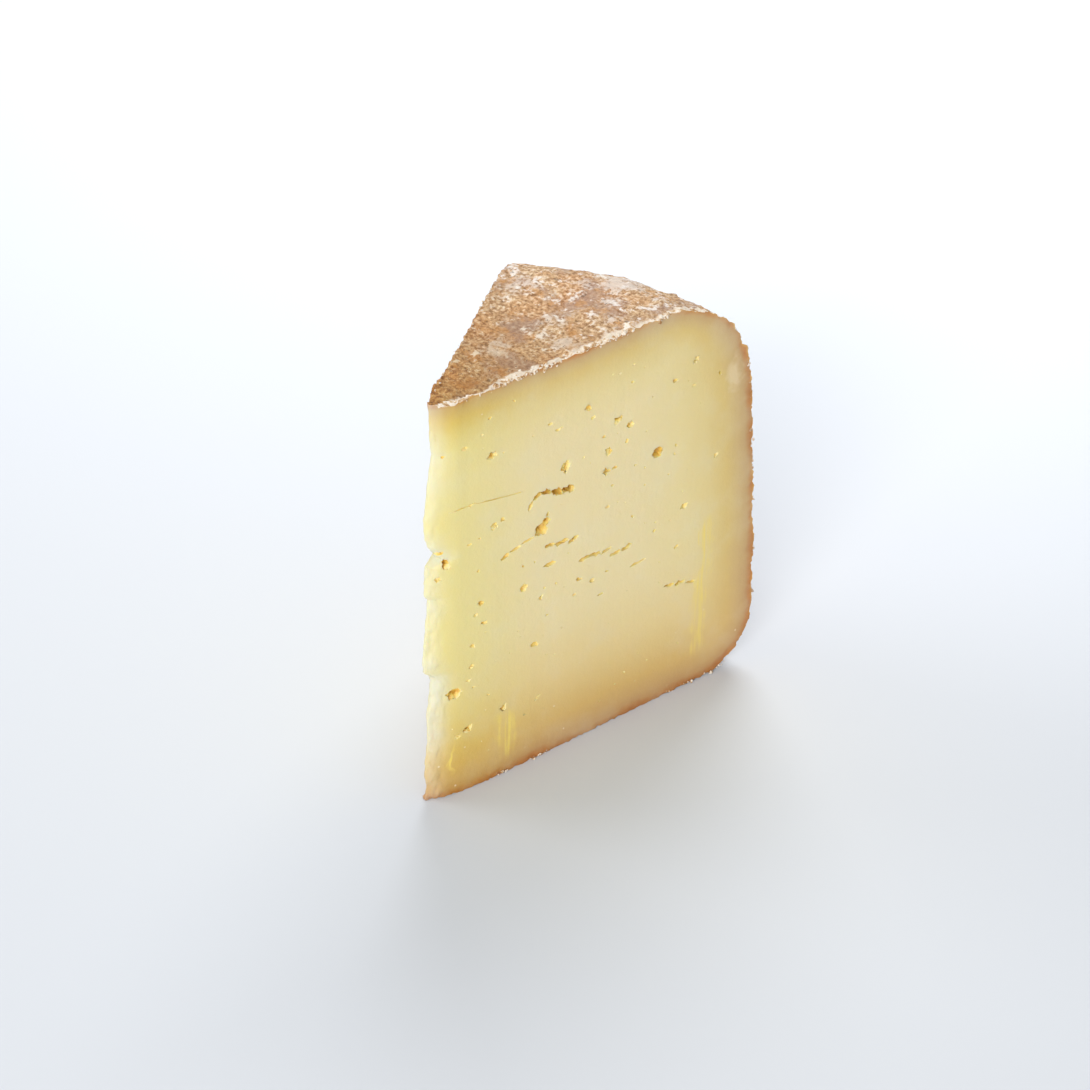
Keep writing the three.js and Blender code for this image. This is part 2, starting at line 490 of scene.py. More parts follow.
def make_rind():
    material, node = new_material("natural_cellar_rind")
    place = node("TexCoord").outputs["Object"]
    noises = {
        name: node("TexNoise", node("Mapping", place, Location=(shift, shift, 0.0)),
                   Scale=1 / feature, Detail=detail, Roughness=0.62)
        for name, feature, detail, shift in RIND_NOISES
    }
    grain = node("ValToRGB", noises["grain"], stops=[
        (0.33, "#8a6a48"), (0.42, "#ad8862"), (0.50, "#c8a57e"), (0.57, "#ddc09c"),
        (0.68, "#f1e5d2"),
    ])
    shade = node("ValToRGB", noises["ground"], stops=[
        (0.36, "#e6dccf"), (0.5, "#ffffff"), (0.64, "#fbe6cf"),
    ])
    # the pale growths thin out towards the point, which was handled more and is browner
    _, far_back, up = node("SeparateXYZ", place).outputs
    towards = node("MapRange", far_back, -48 * MM, 2 * MM, -0.085, 0.0)
    point_end = node("MapRange", far_back, -45 * MM, 12 * MM, 1.0, 0.0)
    # the grain frays the outline of every patch
    fray = node("MapRange", noises["grain"], To_Min=-0.17, To_Max=0.17)
    layers = [("MULTIPLY", 1.0, shade)]
    for name, low, high, strength, tint in RIND_LAYERS:
        frayed = node("Math.ADD", noises[name], fray)
        if name in ("mould", "fleck"):
            frayed = node("Math.ADD", frayed, towards)
        mask = node("MapRange.SMOOTHSTEP", frayed, low, high, 0.0, strength)
        layers.append(("MIX", mask, tint))
    # the knife cracks the rind along the cut, and the break is chalky, mostly at the top
    edge = node("Attribute", attribute_name="from_open_cut").outputs["Fac"]
    near = node("MapRange", edge, 0.4, 4.2, 0.34, 0.0)
    broken = node("Math.ADD", near, noises["mould"])
    chalk = node("MapRange.SMOOTHSTEP", broken, 0.66, 0.76, 0.0, 0.85)
    topmost = node("MapRange.SMOOTHSTEP", up, 104 * MM, 120 * MM, 0.25)
    chalk = node("Math.MULTIPLY", chalk, topmost)
    colour = lay_over(node, grain, [
        *layers, ("MULTIPLY", point_end, "#d9c38e"), ("MIX", chalk, "#e9dcc8"),
    ])
    # the cloth's print: sets of threads that cross, as fine ridges
    cloth = 0.0
    for direction in "XZY":
        threads = node("TexWave", place, Scale=MM / CLOTH_PITCH * 50, Distortion=1.5,
                       Detail=2.0, Detail_Scale=0.3, bands_direction=direction)
        cloth = node("Math.ADD", cloth, threads)
    relief = node("Math.ADD", node("Math.MULTIPLY", cloth, 0.18), noises["grain"])
    finish_material(
        node, Base_Color=colour, Roughness=0.82, IOR=1.45,
        Normal=node("Bump", Height=relief, Strength=0.8, Distance=0.9 * MM),
        Subsurface_Weight=0.06, Subsurface_Radius=(1.0, 0.6, 0.3), Subsurface_Scale=1.5 * MM,
    )
    return material


rind = make_rind()

# %% [markdown]
# ## The wheel
#
# The wheel is round, so half of its section says its whole shape. A flat top falls over a soft
# shoulder to a side that stands almost straight, and a smaller rounding leads to the flat foot. A
# Geometry Nodes tree sweeps the section round the wheel's axis, only as far as the knife will need,
# and pushes the surface in and out: slow lumps, dents, grains, and creases where the cloth folded.

# %% Draw half of the wheel's section
WHEEL_RADIUS = 108 * MM
SIDE_DRAFT = 3.5 * MM
SHOULDER_WIDTH, SHOULDER_HEIGHT = 27 * MM, 35 * MM
FOOT_WIDTH, FOOT_HEIGHT = 17 * MM, 17 * MM
AXIS_FROM_MEETING = np.array([17, -4]) * MM
INNER_RADIUS = 9 * MM          # the middle of the wheel isn't needed, so the section stops here
CURVE_STEPS = 24


def arc(middle, radii, start, end):
    angles = np.linspace(math.radians(start), math.radians(end), CURVE_STEPS)
    return [(middle[0] + radii[0] * math.cos(a), middle[1] + radii[1] * math.sin(a))
            for a in angles]


def curve(start, middle, end):
    """A quadratic curve that leaves start towards middle and reaches end from it."""
    start, middle, end = np.array(start), np.array(middle), np.array(end)
    return [tuple((1 - t) ** 2 * start + 2 * t * (1 - t) * middle + t * t * end)
            for t in np.linspace(0, 1, CURVE_STEPS)[1:-1]]


def half_section():
    """(radius, height) from the middle of the foot round to the middle of the top."""
    shoulder_radius = WHEEL_RADIUS - SIDE_DRAFT
    shoulder_start = wheel_height - SHOULDER_HEIGHT
    side_middle = (WHEEL_RADIUS, (FOOT_HEIGHT + shoulder_start) / 2)
    return [
        (INNER_RADIUS, 0.0),
        *arc((WHEEL_RADIUS - FOOT_WIDTH, FOOT_HEIGHT), (FOOT_WIDTH, FOOT_HEIGHT), -90, 0),
        *curve((WHEEL_RADIUS, FOOT_HEIGHT), side_middle, (shoulder_radius, shoulder_start)),
        *arc((shoulder_radius - SHOULDER_WIDTH, shoulder_start),
             (SHOULDER_WIDTH, SHOULDER_HEIGHT), 0, 90),
        (INNER_RADIUS, wheel_height),
    ]


section = half_section()

# %% Build the tree that sweeps and weathers the wheel
WHEEL_LUMPS = [                # feature size, height and detail of each kind of unevenness
    (30 * MM, 1.0 * MM, 1.0), (8 * MM, 0.8 * MM, 3.0), (2.8 * MM, 0.9 * MM, 3.0),
]
CLOTH_FOLD = 13 * MM           # how far apart the cloth folded
UPRIGHT_STRETCH = 0.12         # a fold is drawn out upwards


def wheel_tree():
    tree, given, node = new_tree(
        "press_the_wheel", Grid=0.8 * MM, Arc_Steps=200, Start=0.0, Sweep=1.0, Axis_X=0.0,
        Axis_Y=0.0, Crease_Depth=0.5 * MM,
    )
    outline = node("MeshToCurve", given["Geometry"])
    even = node("ResampleCurve.LENGTH", outline, Length=given["Grid"])
    path = node("CurveArc", Resolution=given["Arc Steps"], Radius=INNER_RADIUS,
                Start_Angle=given["Start"], Sweep_Angle=given["Sweep"])
    swept = node("CurveToMesh", path.outputs["Curve"], even, Fill_Caps=True)
    place = node("InputPosition")
    height = layered_height(node, place, WHEEL_LUMPS)
    # cloth folds leave upright creases on the side
    flat = node("VectorMath.MULTIPLY", place, (1.0, 1.0, UPRIGHT_STRETCH))
    fold = node("TexNoise", flat, Scale=1 / CLOTH_FOLD, Detail=1.0)
    valley = node("Math.ABSOLUTE", node("Math.SUBTRACT", fold, 0.5))
    crease = node("MapRange.SMOOTHSTEP", valley, 0.0, 0.03, 1.0, 0.0)
    side = node("VectorMath.MULTIPLY", node("InputNormal"), (1.0, 1.0, 0.0))
    deep = node("Math.MULTIPLY", crease, given["Crease Depth"])
    deep = node("Math.MULTIPLY", deep, node("VectorMath.LENGTH", side))
    rough = push_out(node, swept, node("Math.SUBTRACT", height, deep))
    # the shelf pressed the foot flat
    stood = kept_on_table(node, rough, place)
    axis = node("CombineXYZ", given["Axis X"], given["Axis Y"])
    finish_tree(node, given, node("Transform", stood, Translation=axis))
    return tree


# %% Sweep the part of the wheel that the wedge comes from
RIND_GRID = 0.85 * MM
SWEEP_START, SWEEP_END = math.radians(76), math.radians(176)
wheel_axis = meeting + AXIS_FROM_MEETING
wheel = run_tree(
    wheel_tree(), "wheel",
    outline_mesh("half_section", [(radius - INNER_RADIUS, -up, 0) for radius, up in section]),
    Grid=RIND_GRID, Arc_Steps=int((SWEEP_END - SWEEP_START) * WHEEL_RADIUS / RIND_GRID),
    Start=SWEEP_START, Sweep=SWEEP_END - SWEEP_START,
    Axis_X=float(wheel_axis[0]), Axis_Y=float(wheel_axis[1]), Material=rind,
)

# %% [markdown]
# ## The knife
#
# What the knife leaves between its two cuts is an upright prism. Its cut faces are nearly flat,
# with slow waves from the knife. Its point is too thin to stand the cut, so it broke off along an
# uneven curve and is torn further back at some heights than at others. The prism's plan is drawn in
# millimetres from the line where the cuts would meet. A tree raises the plan as rings and then
# shapes the point and the waves by the distance from that line.

# %% Draw the plan between the cuts
KNIFE_GRID = 1.15 * MM         # along the cuts
RING_GRID = 0.85 * MM          # up the cuts
POINT_GRID = 0.45 * MM
BEYOND_WHEEL = 8 * MM
POINT_CORNERS = np.array([     # the torn point at the foot, from the hidden cut to the open cut
    [-7.46, 22.0], [-6.5, 18.6], [-5.75, 15.2], [-5.25, 12.0], [-5.0, 9.0], [-4.8, 6.2],
    [-4.4, 3.5], [-3.9, 1.8], [-3.0, 1.4], [-1.5, 2.4], [0.1, 4.4], [1.9, 7.6], [3.6, 11.5],
    [5.14, 15.4], [6.42, 18.9],
]) * MM
TORN_EDGE = np.array([         # how high, and how far the torn point stands back there
    [0, 1.0], [12.5, 1.0], [18.5, 1.7], [21.6, 2.1], [23.7, 1.7], [29.8, 1.8], [33.8, 2.8],
    [38.7, 2.9], [41.3, 2.2], [42.2, 0.1], [50, 0.0], [58, 0.9], [63, 1.5], [65.8, 1.9],
    [66.8, 0.5], [73.6, 0.6], [76.2, 1.0], [77.4, 5.4], [79.0, 4.4], [82, 1.9], [84.5, 0.9],
    [88.8, 0.1], [97.5, 1.2], [104.8, 2.4], [109.4, 3.8], [111, 3.2], [119, 2.5], [125, 2.3],
]) * MM


def along_line(start, end, spacing):
    start, end = np.array(start), np.array(end)
    steps = max(1, round(math.dist(start, end) / spacing))
    return [tuple(start + (end - start) * i / steps) for i in range(steps)]


def rounded(corners, rounds=3):
    """Cut every corner of an open line but its ends, a few times, so it runs round."""
    for _ in range(rounds):
        quarters = [[0.75 * a + 0.25 * b, 0.25 * a + 0.75 * b]
                    for a, b in zip(corners, corners[1:])]
        corners = [corners[0], *[point for pair in quarters for point in pair], corners[-1]]
    return corners


def plan_between_cuts():
    far = WHEEL_RADIUS + 2 * BEYOND_WHEEL
    open_far, hidden_far = cut_direction(OPEN) * far, cut_direction(HIDDEN) * far
    point_line = rounded(POINT_CORNERS)
    points = []
    for start, end in zip(point_line, point_line[1:]):
        points += along_line(start, end, POINT_GRID)
    points += along_line(POINT_CORNERS[-1], open_far, KNIFE_GRID)
    points += along_line(open_far, hidden_far, 4 * KNIFE_GRID)
    points += along_line(hidden_far, POINT_CORNERS[0], KNIFE_GRID)
    return [(x, y, 0) for x, y in points]


# %% Build the tree that raises the plan and roughens its point
POINT_LEAN = np.array([1.7, 3.1]) * MM   # from the foot to the top
KNIFE_WAVE = 40 * MM           # how long the knife's slow waves are
CHIPS = [                      # feature size, share of the tear's height, detail
    (10 * MM, 0.875, 2.0), (4 * MM, 1.0, 2.0), (1.8 * MM, 0.625, 2.0),
]


def knife_tree():
    tree, given, node = new_tree(
        "cut_with_the_knife", Low=0.0, High=0.1, Rings=100, Meet_X=0.0, Meet_Y=0.0,
        Lean_X=0.0, Lean_Y=0.0, Wave_Height=0.9 * MM, Tear_Height=0.9 * MM,
    )
    plan = node("MeshToCurve", given["Geometry"])
    line = node("CurvePrimitiveLine", Start=node("CombineXYZ", Z=given["Low"]),
                End=node("CombineXYZ", Z=given["High"]))
    rings = node("ResampleCurve", line, Count=given["Rings"])
    prism = node("CurveToMesh", rings, plan, Fill_Caps=True)
    place = node("InputPosition")
    parts = node("SeparateXYZ", place).outputs
    distance = node("VectorMath.LENGTH", node("CombineXYZ", parts["X"], parts["Y"]))
    near = node("MapRange.SMOOTHSTEP", distance, 5 * MM, 16 * MM, 1.0, 0.0)
    torn = node("MapRange.SMOOTHSTEP", distance, 3 * MM, 7 * MM, 1.0, 0.0)
    share = node("Math.DIVIDE", parts["Z"], given["High"])
    lean = node("CombineXYZ", given["Lean X"], given["Lean Y"])
    leaning = node("VectorMath.SCALE", lean, Scale=node("Math.MULTIPLY", share, near))
    leaned = node("SetPosition", prism, Offset=leaning)
    slow = node("TexNoise", place, Scale=1 / KNIFE_WAVE, Detail=1.0)
    wave = node("Math.MULTIPLY", node("Math.SUBTRACT", slow, 0.5), given["Wave Height"])
    ragged = node("Math.MULTIPLY", layered_height(node, place, CHIPS), torn)
    ragged = node("Math.MULTIPLY", ragged, given["Tear Height"])
    rough = push_out(node, leaned, node("Math.ADD", wave, ragged))
    shift = node("CombineXYZ", given["Meet X"], given["Meet Y"])
    finish_tree(node, given, node("Transform", rough, Translation=shift))
    return tree


# %% Raise the prism between the cuts
knife_high = wheel_height + BEYOND_WHEEL
knife = run_tree(
    knife_tree(), "between_the_cuts", outline_mesh("plan", plan_between_cuts()),
    Low=-BEYOND_WHEEL, High=knife_high, Rings=round((knife_high + BEYOND_WHEEL) / RING_GRID),
    Meet_X=float(meeting[0]), Meet_Y=float(meeting[1]),
    Lean_X=float(POINT_LEAN[0]), Lean_Y=float(POINT_LEAN[1]), Material=paste,
)


# %% Tear the point back
TEAR_REACH = 14 * MM           # how far behind the point the tear still moves the paste


def vertex_places(mesh):
    places = np.empty(len(mesh.vertices) * 3)
    mesh.vertices.foreach_get("co", places)
    return places.reshape(-1, 3)


def stands_back(places):
    """How far the torn point stands back at the height of each place."""
    return np.interp(places[:, 2], TORN_EDGE[:, 0], TORN_EDGE[:, 1])


def tear_point(mesh):
    """Move the point back along the open cut, by the height."""
    places = vertex_places(mesh)
    distance = np.hypot(*(places[:, :2] - meeting).T)
    weight = np.clip(1 - distance / TEAR_REACH, 0, 1)
    weight = weight * weight * (3 - 2 * weight)   # no ridge where the tear begins
    places[:, :2] += (stands_back(places) * weight)[:, None] * cut_direction(OPEN)
    mesh.vertices.foreach_set("co", places.ravel())
    mesh.update()


tear_point(knife.data)

# %% [markdown]
# ## Eyes and cracks
#
# Gas made small eyes in the curd, and pressing flattened many of them, so they and the cracks lie
# level. Each hollow is a ball with an uneven skin, stretched to its own length, depth and height,
# with its middle on the cut. The larger ones are listed one by one, as on the real face: how far
# along the cut, how high, and how big. The rest are too many to place and are scattered by a seed.

# %% List the larger hollows of the open cut
EYES = [                       # along, up, length, height, tilt: millimetres and degrees
    (74, 83.5, 3.9, 3.0, 40), (36.8, 75.2, 4.4, 4.0, 20), (44.5, 91.5, 2.6, 3.9, -20),
    (58, 90.5, 2.0, 2.6, 20), (61, 99, 2.7, 1.9, 0), (64.7, 96, 2.6, 1.8, 15),
    (51.5, 106.5, 2.4, 1.9, 0), (53, 103, 1.3, 1.0, 0), (57.3, 84.5, 2.6, 2.0, -10),
    (60, 84.6, 1.8, 0.9, 0), (86, 107.5, 2.2, 2.2, 0), (79, 104, 1.6, 1.4, 0),
    (85.4, 100, 1.1, 1.0, 0), (39.7, 106.5, 1.6, 1.1, 0), (42.4, 104, 2.4, 1.0, 10),
    (21.6, 104.5, 3.0, 2.1, 10), (21, 116, 1.3, 1.0, 0), (28.4, 118, 1.1, 1.0, 0),
    (56.5, 95.5, 1.1, 1.1, 0), (64, 91.5, 1.0, 1.0, 0), (83.4, 62.3, 2.6, 1.4, 30),
    (93.4, 74.5, 1.8, 1.2, 0), (80, 83.5, 1.0, 1.0, 0), (13.5, 110, 1.8, 1.0, 0),
    (15, 92, 1.2, 1.2, 0), (66, 66.5, 1.0, 1.1, 0), (57.7, 73, 1.3, 1.2, 0),
    (22.2, 82.6, 2.2, 1.9, 20), (24.6, 83.4, 1.6, 1.2, 0), (17.6, 80.7, 1.2, 1.0, 0),
    (14.4, 80, 1.8, 0.9, 10), (73.5, 58.5, 1.5, 1.2, 30), (31, 59, 2.3, 2.0, 0),
    (36.5, 53.3, 1.7, 1.8, 0), (48.8, 53.8, 1.5, 1.2, 0), (52.8, 51.6, 1.9, 1.4, 0),
    (47, 49.4, 1.3, 0.9, 0), (55.8, 45.6, 2.2, 0.8, 0), (17, 70.8, 1.2, 1.0, 0),
    (17.6, 60, 2.0, 1.9, 10), (16, 57, 1.8, 1.4, 0), (18.6, 53.5, 2.0, 1.5, 10),
    (15, 47.5, 1.5, 1.5, 0), (14.5, 41, 1.4, 1.4, 0), (13.4, 36.7, 1.8, 0.8, 0),
    (34.3, 38.8, 3.0, 1.3, -20), (38.5, 46.7, 1.5, 0.8, 20), (9, 34, 4.8, 3.6, 0),
    (24, 22.5, 2.5, 1.9, 20), (13, 20.6, 3.2, 2.2, 20), (9.6, 19.2, 2.4, 1.5, 10),
    (57.7, 52.3, 1.0, 0.9, 0), (41.4, 55.6, 1.1, 0.9, 0), (81, 49.8, 1.8, 0.9, 20),
    (35, 20.6, 2.4, 0.8, 30),
]
CRACKS = [                     # along, up, length, height, tilt; neighbours overlap
    (33.5, 84.2, 3.0, 1.2, 70), (35.4, 86.1, 3.6, 1.5, 28), (38.6, 86.1, 4.2, 1.6, -20),
    (42.0, 84.8, 4.6, 1.9, -22), (45.4, 84.2, 3.4, 2.2, -4), (38.2, 76.9, 2.6, 2.6, 60),
    (39.6, 68.9, 4.2, 1.2, -4), (43.2, 68.3, 4.4, 1.3, 4),
    (46.8, 67.6, 3.2, 1.5, 20), (50.8, 59.8, 4.2, 1.1, 4), (54.0, 59.6, 3.6, 1.4, -4),
    (57.4, 59.3, 4.0, 1.1, 14), (60.6, 57.0, 3.8, 1.2, 0), (64.4, 57.4, 3.4, 1.5, 24),
    (39.4, 62.9, 4.4, 1.2, 0), (68.0, 50.4, 5.2, 0.8, 4), (25.4, 71.5, 3.0, 1.3, 20),
    (28.6, 72.6, 3.8, 0.9, 16), (32.4, 73.6, 4.4, 0.7, 12), (79.0, 37.8, 3.4, 1.0, -10),
    (82.6, 37.0, 3.8, 1.4, 4), (86.4, 35.6, 3.4, 0.9, -8), (23.6, 90.7, 16.0, 0.5, -10),
    (11.2, 92.2, 11.6, 0.6, 0),
]
PITS = [                       # small and deep, so they look dark, and the eye walls' painted shade darkens them more
    (38.6, 79.2, 0.9, 1.7, -20), (31.0, 66.0, 0.8, 0.9, 0), (8.2, 22.4, 0.7, 0.9, 0),
    (94.0, 100.2, 0.8, 1.6, 30), (41.6, 85.2, 4.4, 0.8, -20), (74.0, 83.2, 1.8, 1.4, 40),
    (35.6, 74.6, 1.8, 1.4, 35), (44.6, 91.0, 1.1, 1.8, -20), (64.9, 96.3, 1.2, 0.8, 15),
]
EDGE_FLAWS = [                 # where the point broke
    (6.0, 80.0, 3.4, 2.6, 20), (7.6, 76.4, 3.0, 2.0, 60), (5.4, 110.6, 2.4, 1.6, 10),
    (7.8, 109.0, 1.8, 1.2, 0), (5.4, 72.4, 2.6, 1.6, 50), (5.4, 40.4, 1.4, 2.2, 70),
    (6.2, 38.6, 1.0, 1.2, 0),
]

# %% Build the tree that turns marked points into uneven hollows


def hollow_tree():
    tree, given, node = new_tree("blow_the_eyes", Unevenness=1.5, Most=3.2 * MM,
                                 Feature=1.2 * MM, Fineness=3)
    ball = node("MeshIcoSphere", Radius=0.5, Subdivisions=given["Fineness"])
    size, turn = (node("InputNamedAttribute.FLOAT_VECTOR", name) for name in ("size", "turn"))
    points = node("MeshToPoints", given["Geometry"])
    balls = node("InstanceOnPoints", points, Instance=ball, Rotation=turn, Scale=size)
    # a small hollow gets a small unevenness, so it stays one closed skin
    parts = node("SeparateXYZ", size).outputs
    least = node("Math.MINIMUM", parts["X"], parts["Z"])
    amount = node("Math.MULTIPLY", least, given["Unevenness"])
    amount = node("Math.MINIMUM", amount, given["Most"])
    push = push_any_way(node, node("InputPosition"), given["Feature"], amount)
    finish_tree(node, given, node("SetPosition", node("RealizeInstances", balls), Offset=push))
    return tree


blow_the_eyes = hollow_tree()


def marked_points(name, marks):
    """Points that carry the size and the turn of what will stand on them."""
    mesh = bpy.data.meshes.new(name)
    mesh.from_pydata([mark[0] for mark in marks], [], [])
    for label, column in (("size", 1), ("turn", 2)):
        layer = mesh.attributes.new(label, "FLOAT_VECTOR", "POINT")
        layer.data.foreach_set("vector", np.array([mark[column] for mark in marks]).ravel())
    return mesh


def on_cut(along, up, side, out=0.0):
    """A place on a cut face, from millimetres along it, up it and out of it."""
    flat = meeting + (cut_direction(side) * along + cut_normal(side) * out) * MM
    return (float(flat[0]), float(flat[1]), up * MM)


def hollow_marks(hollows, side, depth_share):
    """Each hollow's length lies along the cut and its depth goes into it."""
    heading = math.pi / 2 - side * HALF_ANGLE
    marks = []
    for along, up, length, height, tilt in hollows:
        depth = 2 * depth_share * min(length, height * 1.6)
        size = np.array([length, depth, height]) * MM
        marks.append((on_cut(along, up, side), size, (0.0, -math.radians(tilt), heading)))
    return marks


# %% [markdown]
# ## Pinholes and the hidden cut
#
# The hidden cut has eyes and cracks too. Nobody sees which ones, so a seeded generator places them,
# and the pinholes of both cuts, mostly small. Two hollows must not run into each other inside one
# cutter, so each try that comes too close to another is dropped.

# %% Scatter the hollows that aren't placed by hand
SCATTER_SEED = 31
FACE_MARGIN = 9.0              # millimetres kept free under the rind
FACE_START, FACE_END = 14.0, 90.0        # millimetres along the cut
SHOULDER_CORNER = (62.0, 84.0)           # along and up: beyond both, the shoulder is near
SHOULDER_ROOM = 48.0
TRIES = 6                      # tries for each hollow
ROUND, FLAT = (0.45, 0.95), (0.16, 0.34)   # a hollow's height for its length
PINHOLE = (0.45, 1.1)          # the shortest and the longest


def scatter(count, lengths, flatness, taken, generator):
    """Level hollows on one cut, mostly small, clear of those already there."""
    placed = []
    top = wheel_height / MM - FACE_MARGIN
    for _ in range(count * TRIES):
        if len(placed) == count:
            break
        along = generator.uniform(FACE_START, FACE_END)
        up = generator.uniform(FACE_MARGIN, top)
        length = lengths[0] + (lengths[1] - lengths[0]) * generator.uniform() ** 2
        shoulder = max(0.0, along - SHOULDER_CORNER[0]) + max(0.0, up - SHOULDER_CORNER[1])
        near = any(math.dist((along, up), other[:2]) < (length + other[2]) * 0.75 + 0.6
                   for other in taken + placed)
        if near or shoulder > SHOULDER_ROOM:
            continue
        placed.append((along, up, length, length * generator.uniform(*flatness),
                       generator.uniform(-15, 25)))
    return placed


chance = np.random.default_rng(SCATTER_SEED)
open_pinholes = scatter(70, PINHOLE, ROUND, EYES + CRACKS, chance)
hidden_eyes = scatter(44, (1.1, 4.6), ROUND, [], chance)
hidden_cracks = scatter(11, (3.2, 6.5), FLAT, hidden_eyes, chance)
hidden_pinholes = scatter(70, PINHOLE, ROUND, hidden_eyes + hidden_cracks, chance)
print(len(open_pinholes), "pinholes on the open cut,",
      len(hidden_eyes) + len(hidden_cracks), "eyes and cracks on the hidden one")

# %% Make the hollows in sets that don't overlap
hollow_sets = [                # how fine the balls are, and the hollows with their depth share
    (3, hollow_marks(EYES, OPEN, 0.45) + hollow_marks(hidden_eyes, HIDDEN, 0.45)),
    (3, hollow_marks(CRACKS[0::2], OPEN, 0.7) + hollow_marks(hidden_cracks, HIDDEN, 0.7)),
    (3, hollow_marks(CRACKS[1::2], OPEN, 0.7) + hollow_marks(EDGE_FLAWS, OPEN, 1.0)),
    (2, hollow_marks(open_pinholes, OPEN, 0.4) + hollow_marks(hidden_pinholes, HIDDEN, 0.5)),
    (3, hollow_marks(PITS, OPEN, 1.5)),
]
hollows = [
    run_tree(blow_the_eyes, f"hollows_{i}", marked_points(f"hollow_points_{i}", marks),
             Fineness=fineness, Material=eye_wall)
    for i, (fineness, marks) in enumerate(hollow_sets)
]

# %% [markdown]
# ## Cutting
#
# Boolean modifiers do what the knife did: the wheel keeps only what lies between the cuts, and
# each set of hollows is taken away. The Manifold solver is quick and exact on closed meshes, and
# each new face keeps the material of the tool that made it.

# %% Cut the wedge and open the hollows


def cut_wedge():
    for tool in [knife, *hollows]:
        modifier = wheel.modifiers.new(tool.name, "BOOLEAN")
        modifier.object = tool
        modifier.operation = "INTERSECT" if tool == knife else "DIFFERENCE"
        modifier.solver = "MANIFOLD"
        modifier.material_mode = "TRANSFER"
    mesh = plain_mesh(wheel, "cut_wedge")
    for tool in [wheel, knife, *hollows]:
        bpy.data.objects.remove(tool)
    return mesh


wedge_mesh = cut_wedge()
print("the wedge has", len(wedge_mesh.polygons), "faces and materials",
      [m.name for m in wedge_mesh.materials])

# %% [markdown]
# ## Measures for the colours
#
# The paste dries from the rind inwards, fastest at the top and slowest at the foot, where the wheel
# lay on its shelf. For every vertex the nearest point of the section gives that depth, and the two
# cut planes give the rest. They are stored on the mesh as attributes, so the materials follow the
# cheese and not the view.

# %% Store how deep each vertex lies and how near it is to a cut
SIDE_STRETCH, FOOT_STRETCH = 1.55, 1.9   # how much wider the dry band is there than at the top
SECTION_GRID = 0.8 * MM
TEAR_START, TEAR_FADE = 1.0 * MM, 7.5 * MM   # behind the torn edge
POINT_SET_BACK, SET_BACK_REACH = 3.2 * MM, 16 * MM   # how far the cut's curve falls back


def dense_section():
    """The section as close points, each with the stretch of the dry band behind it."""
    points = []
    for start, end in zip(section, section[1:]):
        points += along_line(start, end, SECTION_GRID)
    points = np.array(points)
    low = np.clip(1 - points[:, 1] / wheel_height / 0.12, 0, 1)
    side = np.clip((points[:, 0] / WHEEL_RADIUS - 0.82) / 0.12, 0, 1) * (1 - low)
    return points, 1 + (SIDE_STRETCH - 1) * side + (FOOT_STRETCH - 1) * low


def measure(mesh):
    places = vertex_places(mesh)
    flat, up = places[:, :2], places[:, 2]
    here = np.column_stack([np.hypot(*(flat - wheel_axis).T), up])
    depth = np.full(len(here), np.inf)
    for point, wider in zip(*dense_section()):
        depth = np.minimum(depth, np.hypot(*(here - point).T) / wider)
    from_meeting = flat - meeting
    in_open, in_hidden = (-from_meeting @ cut_normal(side) for side in (OPEN, HIDDEN))
    inside = np.minimum(in_open, in_hidden)
    distance = np.hypot(*from_meeting.T)
    torn = np.clip(1 - (distance - stands_back(places) - TEAR_START) / TEAR_FADE, 0, 1) ** 2
    torn *= np.clip(0.3 + up / (30 * MM), 0, 1)   # the foot of the point is dry and yellow
    # an eye's depth counts from the face it opens in, and near the point that face falls back
    set_back = np.clip(1 - distance / SET_BACK_REACH, 0, 1) ** 2 * POINT_SET_BACK
    measures = {
        "drying_depth": depth / MM,
        "along_cut": np.where(in_open < in_hidden, distance, -distance) / MM,
        "from_cut": inside / MM,
        "from_open_cut": in_open / MM,
        "torn_point": torn,
        "eye_depth": np.maximum(inside - set_back, 0) / MM,
    }
    for name, values in measures.items():
        layer = mesh.attributes.new(name, "FLOAT", "POINT")
        layer.data.foreach_set("value", values.astype(np.float32))
    print("deepest paste lies", round(depth.max() / MM, 1), "mm under the rind")


measure(wedge_mesh)

# %% [markdown]
# ## The crumbled edge and its crumbs
#
# A dry rind doesn't cut clean: the edge breaks off in grains, and some of them cling to it. One
# tree moves the vertices close to both the rind and a cut, each its own way, and never below the
# table. Another walks along the edges of the cuts and leaves small uneven crumbs there, most of
# them along the top of the open cut.

# %% Make the crumbs' material


def make_crumb():
    material, node = new_material("dry_rind_crumb")
    place = node("TexCoord").outputs["Object"]
    patch = node("TexNoise", place, Scale=1 / (1.6 * MM), Detail=4.0)
    colour = node("ValToRGB", patch, stops=[
        (0.36, "#a27748"), (0.45, "#cdb08a"), (0.54, "#e9e1d5"), (0.70, "#dccbb0"),
    ])
    finish_material(node, Base_Color=colour, Roughness=0.85, IOR=1.45,
                    Normal=node("Bump", Height=patch, Strength=0.6, Distance=0.5 * MM))
    return material


crumb = make_crumb()

# %% Crumble the edge between the rind and the cuts
EDGE_WIDTH = 2.2               # millimetres on either side of the edge


